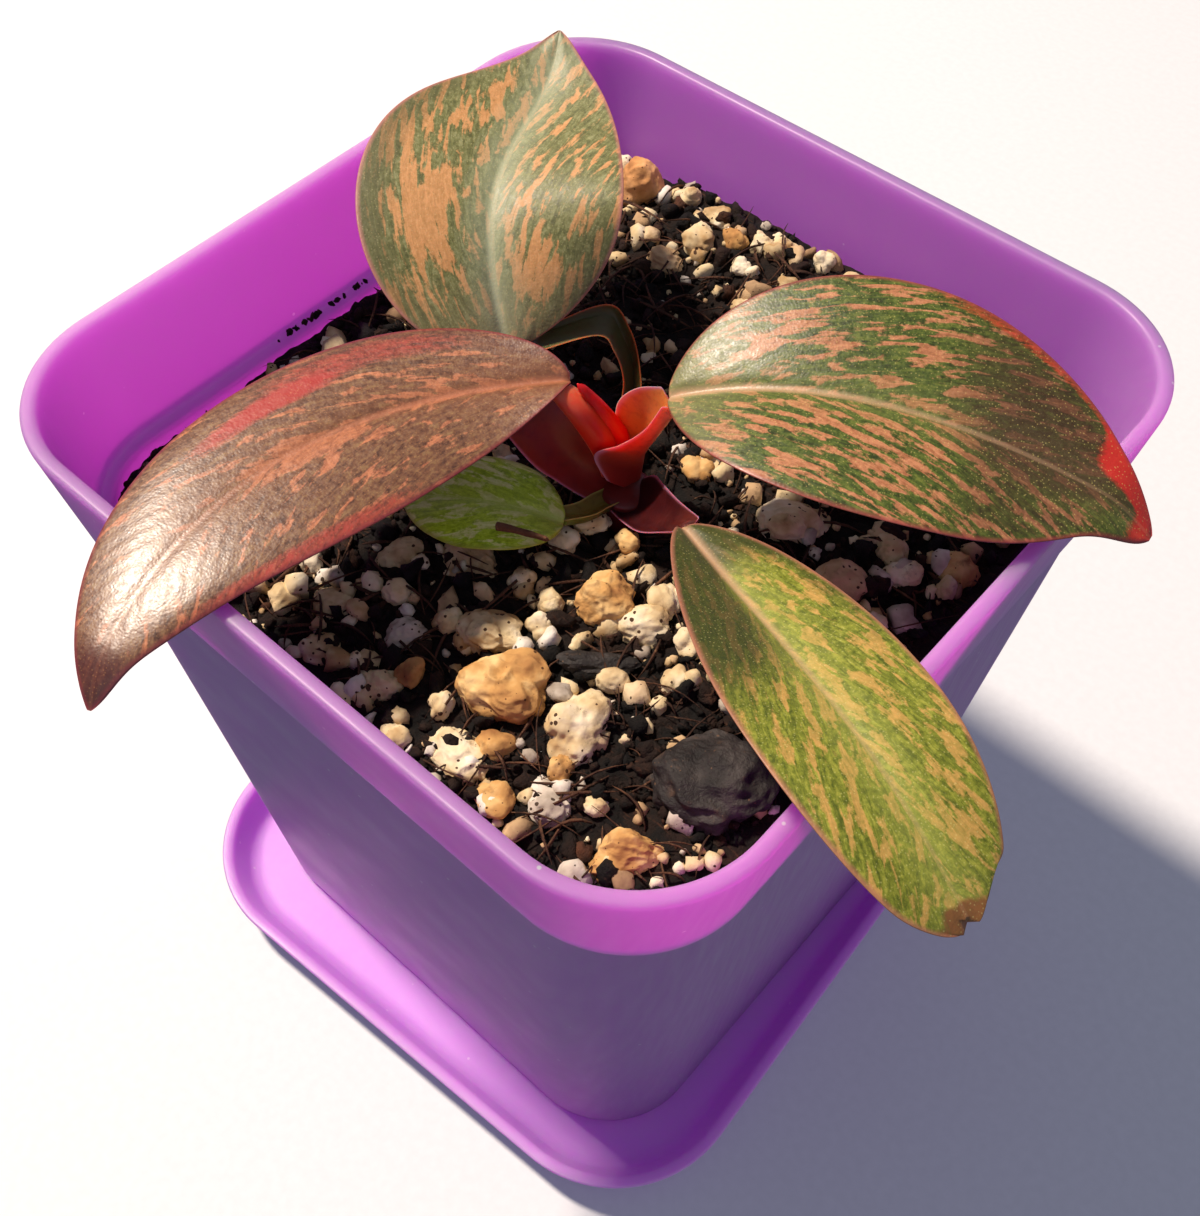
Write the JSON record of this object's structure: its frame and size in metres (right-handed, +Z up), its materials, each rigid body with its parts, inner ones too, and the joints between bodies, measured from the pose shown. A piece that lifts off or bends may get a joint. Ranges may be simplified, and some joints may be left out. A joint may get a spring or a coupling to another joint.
{
  "type": "potted philodendron seedling in a square nursery pot with saucer",
  "caption": "Young variegated philodendron with broad pointed leaves in a square tapered purple plastic pot standing on its matching saucer, filled with a coarse stony mix.",
  "frame": {"origin": "middle of the saucer's resting face, directly under the pot's vertical axis", "axes": "+Z up along the pot's axis, X and Y parallel to the pot's sides; the corner at +X -Y faces the viewer"},
  "size_m": [0.0824, 0.0797, 0.0865],
  "materials": {
    "pot_plastic": "satin purple polypropylene, slightly translucent",
    "saucer_plastic": "satin purple polypropylene, slightly translucent",
    "peat_mix": "dark fibrous peat and bark mix, damp",
    "pumice_cream": "rough cream pumice and perlite",
    "ochre_stone": "rough ochre akadama and zeolite grains",
    "charcoal": "dull black charcoal",
    "stalk_red": "glossy red leaf stalks",
    "new_leaf_red": "glossy pure red rolled leaf",
    "leaf_bronze": "glossy bronze leaf with red and salmon streaks",
    "leaf_green_salmon": "glossy dark green leaf with salmon patches",
    "leaf_olive": "soft gloss olive leaf with amber patches",
    "leaf_yellow_green": "glossy yellow green leaf with tan streaks",
    "leaf_lime": "soft bright lime leaf with cream blotches",
    "bark": "dry brown bark"
  },
  "bodies": {
    "root": {"saucer": "saucer_plastic", "pot": "pot_plastic", "potting_mix": "peat_mix", "crown_and_stalks": "stalk_red", "new_leaf_spike": "new_leaf_red", "leaf_left": "leaf_bronze", "leaf_right": "leaf_green_salmon", "leaf_back": "leaf_olive", "leaf_front": "leaf_yellow_green", "leaf_old_small": "leaf_lime", "bark_sliver": "bark", "ochre_block": "ochre_stone", "ochre_crag": "ochre_stone", "ochre_front_corner": "ochre_stone", "ochre_right_wall": "ochre_stone", "amber_upright": "ochre_stone", "orange_left_corner": "ochre_stone", "tan_round": "ochre_stone", "tan_pebble": "ochre_stone", "charcoal_flake": "charcoal", "charcoal_lump": "charcoal", "pebble_behind_leaf": "pumice_cream", "pumice_speckled": "pumice_cream", "pumice_knobbly": "pumice_cream", "pumice_beside_crag": "pumice_cream", "pumice_cluster": "pumice_cream", "pumice_grey": "pumice_cream", "pumice_front_left": "pumice_cream", "pumice_left_rim": "pumice_cream", "pumice_left_row": "pumice_cream", "pumice_left_pair": "pumice_cream", "pumice_under_leaf": "pumice_cream", "pumice_large_right": "pumice_cream", "pumice_right": "pumice_cream", "pumice_back_wall": "pumice_cream", "pumice_back_middle": "pumice_cream", "pumice_back_right": "pumice_cream", "pumice_beyond_crown": "pumice_cream", "pumice_left_wall": "pumice_cream"}
  },
  "joints": []
}
